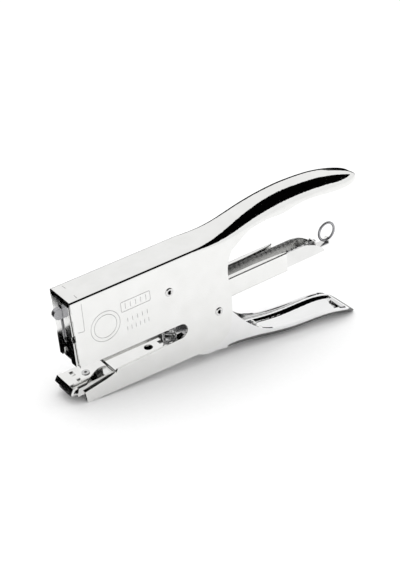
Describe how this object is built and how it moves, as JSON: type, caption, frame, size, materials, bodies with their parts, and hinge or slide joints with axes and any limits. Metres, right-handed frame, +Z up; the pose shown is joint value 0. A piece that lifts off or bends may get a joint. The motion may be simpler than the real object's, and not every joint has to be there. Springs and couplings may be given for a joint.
{
  "type": "plier stapler",
  "caption": "Hand-held plier stapler: folded sheet body with paper throat and anvil arm, squeezed lower handle, tilting magazine with slotted front plate and a pull-out staple rail.",
  "frame": {"origin": "middle of the footprint on the table it stands on", "axes": "+X from the anvil end back to the handle tips, +Y across to the side away from the reader, +Z up; the body leans nose down by about 8 degrees because it stands on the arm and the lower handle tip"},
  "size_m": [0.199, 0.0216, 0.0936],
  "materials": {
    "plated_body": "bright plated, faint brushing on the flat sides",
    "inner_plate": "plated sheet, slightly duller",
    "rivet_steel": "plated, turned",
    "spring_wire": "drawn wire",
    "blade_steel": "hardened, darker"
  },
  "bodies": {
    "frame": {"body_shell": "plated_body", "arm_channel": "inner_plate", "deck_plate": "inner_plate", "anvil_plate": "inner_plate", "anvil_rivet": "rivet_steel", "pivot_rivets": "rivet_steel", "spring_seat": "rivet_steel", "magazine_spring": "spring_wire"},
    "lever": {"lever_handle": "plated_body", "lever_nose": "rivet_steel", "spring_anchor": "inner_plate", "lever_spring": "spring_wire"},
    "magazine": {"magazine_channel": "inner_plate", "front_guide": "inner_plate"},
    "driver": {"driver_blade": "blade_steel"},
    "rail": {"staple_rail": "inner_plate", "rod_anchor": "inner_plate", "guide_rod": "spring_wire", "follower_spring": "spring_wire"},
    "pusher": {"follower": "inner_plate"},
    "ring": {"pull_ring": "spring_wire"}
  },
  "joints": [
    {"name": "lever_squeeze", "type": "hinge", "parent": "frame", "child": "lever", "pos_m": [-0.03649, 0, 0.05134], "axis": [0, -1, 0], "range_deg": [0, 22.5], "stiffness_Nm_per_rad": 1.5, "springref_deg": -19.48, "deforming": ["lever_spring"]},
    {"name": "magazine_drop", "type": "hinge", "parent": "frame", "child": "magazine", "pos_m": [-0.00334, 0, 0.03062], "axis": [0, -1, 0], "range_deg": [0, 6.7], "deforming": ["magazine_spring"]},
    {"name": "driver_slide", "type": "slide", "parent": "magazine", "child": "driver", "axis": [0.1449, 0, -0.9894], "range_m": [0, 0.0131]},
    {"name": "rail_pull", "type": "slide", "parent": "magazine", "child": "rail", "axis": [0.9894, 0, 0.1449], "range_m": [0, 0.12]},
    {"name": "follower_slide", "type": "slide", "parent": "rail", "child": "pusher", "axis": [0.9894, 0, 0.1449], "range_m": [0, 0.1], "stiffness_N_per_m": 15, "springref_m": -0.06, "deforming": ["follower_spring"]},
    {"name": "ring_swing", "type": "hinge", "parent": "rail", "child": "ring", "pos_m": [0.07842, 0, 0.04927], "axis": [0.9894, 0, 0.1449], "range_deg": [-75, 75]}
  ],
  "couplings": [
    {"joint": "magazine_drop", "follows": "lever_squeeze", "ratio": 0.29778},
    {"joint": "driver_slide", "follows": "lever_squeeze", "m_per_rad": 0.033359}
  ]
}
